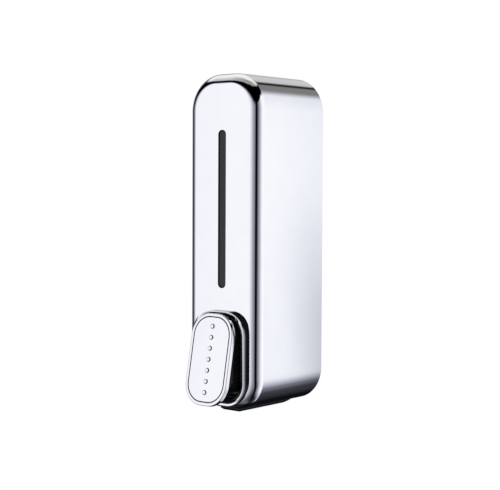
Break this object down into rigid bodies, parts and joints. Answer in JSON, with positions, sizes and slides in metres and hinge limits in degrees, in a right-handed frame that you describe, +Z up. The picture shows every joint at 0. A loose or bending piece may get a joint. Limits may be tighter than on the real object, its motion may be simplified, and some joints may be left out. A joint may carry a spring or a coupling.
{
  "type": "soap dispenser",
  "caption": "Wall-mounted chromed soap dispenser: tall rounded casing with a slot window and a tilting push button low on the front, a refillable tank and a piston pump inside.",
  "frame": {"origin": "centre of the wall bracket's back face, on the wall", "axes": "+Y into the wall, -Y towards the user, +Z up, +X to the right seen from the front"},
  "size_m": [0.058, 0.0838, 0.2125],
  "materials": {
    "chrome": "bright chrome plate on moulded plastic",
    "smoked_plastic": "smoked transparent strip, dark against the inside",
    "black_plastic": "black moulded plastic, fine gloss",
    "white_plastic": "off-white moulded plastic, satin",
    "clear_plastic": "translucent blow-moulded plastic",
    "black_rubber": "matt black rubber",
    "steel": "stainless steel, satin"
  },
  "bodies": {
    "bracket": {"wall_bracket": "steel"},
    "unit": {"chassis": "white_plastic", "soap_tank": "clear_plastic", "filler_gasket": "black_rubber", "tank_seal": "black_rubber", "pump_body": "white_plastic", "pump_gland": "black_plastic", "return_spring": "steel", "inlet_spring": "steel", "outlet_spring": "steel", "spout": "black_plastic", "nozzle_tip": "black_rubber", "pump_screw_left": "steel", "pump_screw_right": "steel", "spout_screw_left": "steel", "spout_screw_right": "steel", "cover_catch_left": "steel", "cover_catch_right": "steel"},
    "filler_cap": {"filler_cap": "white_plastic"},
    "plunger": {"plunger_rod": "white_plastic", "piston": "white_plastic", "piston_seal": "black_rubber"},
    "inlet_ball": {"inlet_ball": "steel"},
    "outlet_ball": {"outlet_ball": "steel"},
    "cover": {"front_cover": "chrome", "window_lens": "smoked_plastic", "window_retainer": "black_plastic", "button_collar": "chrome", "button_pivot_pin": "steel"},
    "button": {"button_cap": "chrome", "button_plate": "chrome", "button_neck": "black_plastic", "button_pad": "black_rubber"}
  },
  "joints": [
    {"name": "unit_lift", "type": "slide", "parent": "bracket", "child": "unit", "axis": [0, 0, 1], "range_m": [0, 0.009]},
    {"name": "cover_slide", "type": "slide", "parent": "unit", "child": "cover", "axis": [0, -1, 0], "range_m": [0, 0.075]},
    {"name": "button_press", "type": "hinge", "parent": "cover", "child": "button", "pos_m": [0, -0.0615, -0.052], "axis": [1, 0, 0], "range_deg": [0, 10.5], "stiffness_Nm_per_rad": 0.5, "springref_deg": -14.32},
    {"name": "plunger_slide", "type": "slide", "parent": "unit", "child": "plunger", "axis": [0, 1, 0], "range_m": [0, 0.0053], "deforming": ["return_spring"]},
    {"name": "outlet_ball_drop", "type": "slide", "parent": "unit", "child": "outlet_ball", "axis": [0, 0, -1], "range_m": [0, 0.00125], "deforming": ["outlet_spring"]},
    {"name": "inlet_ball_drop", "type": "slide", "parent": "unit", "child": "inlet_ball", "axis": [0, 0, -1], "range_m": [0, 0.0012], "stiffness_N_per_m": 20, "springref_m": -0.006, "deforming": ["inlet_spring"]},
    {"name": "filler_cap_turn", "type": "hinge", "parent": "unit", "child": "filler_cap", "pos_m": [0, -0.03285, 0.0946], "axis": [0, 0, 1], "range_deg": [0, 90]}
  ],
  "couplings": [
    {"joint": "plunger_slide", "follows": "button_press", "m_per_rad": 0.028574},
    {"joint": "outlet_ball_drop", "follows": "button_press", "m_per_rad": 0.0065481}
  ]
}
